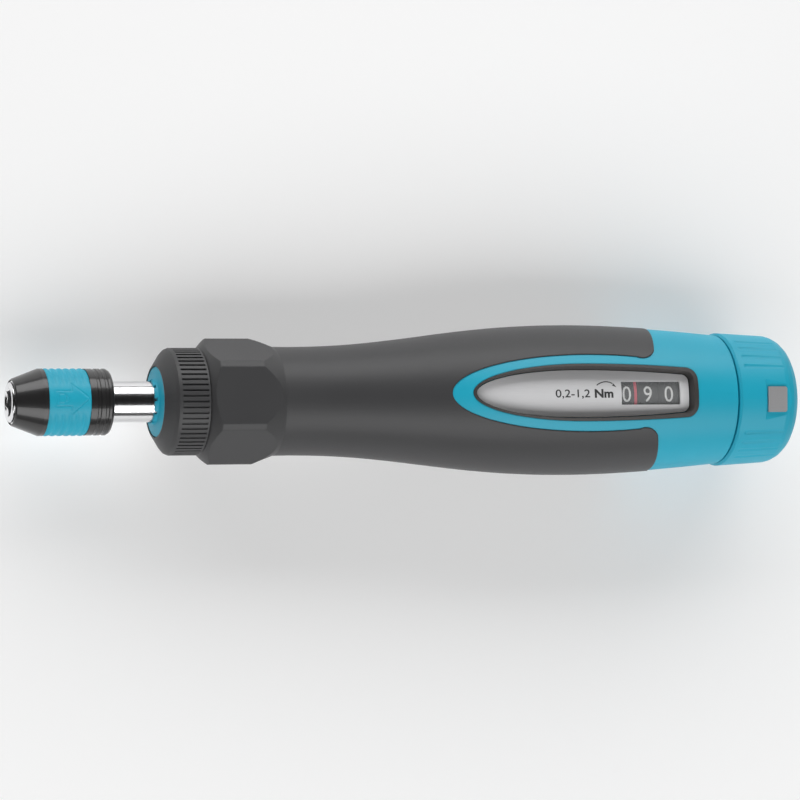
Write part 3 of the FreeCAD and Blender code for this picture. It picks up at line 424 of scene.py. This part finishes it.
head.data.transform(Matrix.Translation((159.0 * MM, 2.05 * MM, 0)) @ Matrix.Rotation(math.radians(-128), 4, "Z")
                    @ Matrix.Diagonal((0.62, 1.35, 1, 1)))
printed = join_as("label_printing", [span, unit, sweep, head])
cut_across(printed, 0.4 * MM, 1)
wrap_round(printed, 0.0, label_r + FILM)
finish_with(print_black, printed)
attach(printed, "handle")

# ---------------------------------------------------------------- pane and counter rings
# Clear acrylic pane snapped into the window, over three rings of black plastic that the
# knob turns behind it.
clear, bsdf, wire = new_finish("lens_acrylic", IOR=1.49, Roughness=0.03, Alpha=0.1)
bsdf.inputs["Base Color"].default_value = (0.9, 0.93, 0.94, 1)
finish_with(clear, cad["counter_lens"])

ring_black, bsdf, wire = new_finish("ring_plastic", IOR=1.5)
pores = grain(wire, places(wire), 3000.0, 2.0)
wire.feed(bsdf, "Base Color", pores.blend((0.022, 0.022, 0.023, 1), (0.030, 0.030, 0.031, 1)))
wire.feed(bsdf, "Roughness", 0.42 + 0.1 * pores)
finish_with(ring_black, cad["ones_ring"], cad["tenths_ring"], cad["hundredths_ring"])

# ---------------------------------------------------------------- lock slider
# Small zinc plate with a satin finish that slides in the knob. Pushed to the rear, its tooth
# locks the knob to the handle.
plate, bsdf, wire = new_finish("slider_zinc", Metallic=0.6)
pores = grain(wire, places(wire), 3000.0, 2.0)
wire.feed(bsdf, "Base Color", pores.blend((0.50, 0.50, 0.51, 1), (0.56, 0.56, 0.57, 1)))
wire.feed(bsdf, "Roughness", 0.38 + 0.1 * pores)
finish_with(plate, cad["lock_slider"])

# ---------------------------------------------------------------- camera
# A long lens over the chuck end, a little to the side of the window, looking slightly
# towards the knob.
camera = bpy.data.objects.new("camera", bpy.data.cameras.new("camera"))
bpy.context.scene.collection.objects.link(camera)
look = Vector((0.3387, 0.1032, -0.9352)).normalized()
up = Vector((0.0, 0.994, 0.1097))
side = look.cross(up).normalized()
up = side.cross(look).normalized()
turn = Matrix((side, up, -look)).transposed()
roll = Matrix.Rotation(math.radians(-0.24), 3, "Z")
camera.matrix_world = Matrix.Translation(Vector((-214.3, -97.07, 881.5)) * MM) @ (turn @ roll).to_4x4()
camera.data.lens = 162.0
camera.data.sensor_width = 36.0
camera.data.clip_start = 0.01
bpy.context.scene.camera = camera

# ---------------------------------------------------------------- floor and light
# White sweep under the tool, which glows a little where it is seen, and two long softboxes,
# one behind the tool and one before it.
bpy.ops.object.select_all(action="DESELECT")
bpy.ops.mesh.primitive_plane_add(size=4.0, location=(0.1, 0.0, cad_low.z - 0.2 * MM))
floor = bpy.context.object
floor.name = "floor"
floor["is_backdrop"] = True
floor_white, bsdf, wire = new_finish("floor_white", Roughness=0.9)
bsdf.inputs["Base Color"].default_value = (0.80, 0.80, 0.80, 1)
paths = wire.node("LightPath").socket.node
seen = Wire(wire.tree, paths.outputs["Is Camera Ray"]) + Wire(wire.tree, paths.outputs["Is Glossy Ray"])
seen = seen + Wire(wire.tree, paths.outputs["Is Transmission Ray"])
white = wire.node("Emission", {}, {"Color": (1, 1, 1, 1), "Strength": 0.2 * (seen > 0.5)})
both = wire.node("AddShader", {}, {0: Wire(wire.tree, bsdf.outputs[0]), 1: white})
wire.tree.links.new(both.socket, wire.tree.nodes["Material Output"].inputs["Surface"])
finish_with(floor_white, floor)

# The studio: white walls to either side of the tool, and a darker ceiling round the camera
world = bpy.data.worlds.new("studio")
bpy.context.scene.world = world
world.use_nodes = True
wire = Wire(world.node_tree)
background = world.node_tree.nodes["Background"]
paths = wire.node("LightPath").socket.node
seen = Wire(wire.tree, paths.outputs["Is Camera Ray"]) + Wire(wire.tree, paths.outputs["Is Transmission Ray"])
mirrored = Wire(wire.tree, paths.outputs["Is Glossy Ray"])
away = wire.node("SeparateXYZ", {}, {0: wire.node("TexCoord")})
sideways = Wire(wire.tree, away.socket.node.outputs["Y"])
wall = wire.node("MapRange", {"interpolation_type": "SMOOTHSTEP"},
                 {"Value": wire.maths("ABSOLUTE", sideways), "From Min": 0.35, "From Max": 0.75, "To Min": 0.12,
                  "To Max": 1.0})
level = 0.24 * (1 - seen) * (1 - mirrored) + seen + mirrored * wall * (1 - seen)
wire.feed(background, "Strength", level)


def softbox(name, place, aim, width, height, power):
    lamp = bpy.data.objects.new(name, bpy.data.lights.new(name, "AREA"))
    lamp.data.shape = "RECTANGLE"
    lamp.data.size = width
    lamp.data.size_y = height
    lamp.data.energy = power
    lamp.location = place
    lamp.rotation_euler = (Vector(aim) - Vector(place)).to_track_quat("-Z", "Y").to_euler()
    bpy.context.scene.collection.objects.link(lamp)


softbox("light_far", (0.1, 0.84, 0.44), (0.1, 0.0, 0.0), 1.8, 0.62, 11.5)
softbox("light_near", (0.1, -0.68, 0.62), (0.1, 0.0, 0.0), 1.8, 0.62, 10.0)

bpy.context.scene.view_settings.view_transform = "Standard"
low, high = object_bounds()
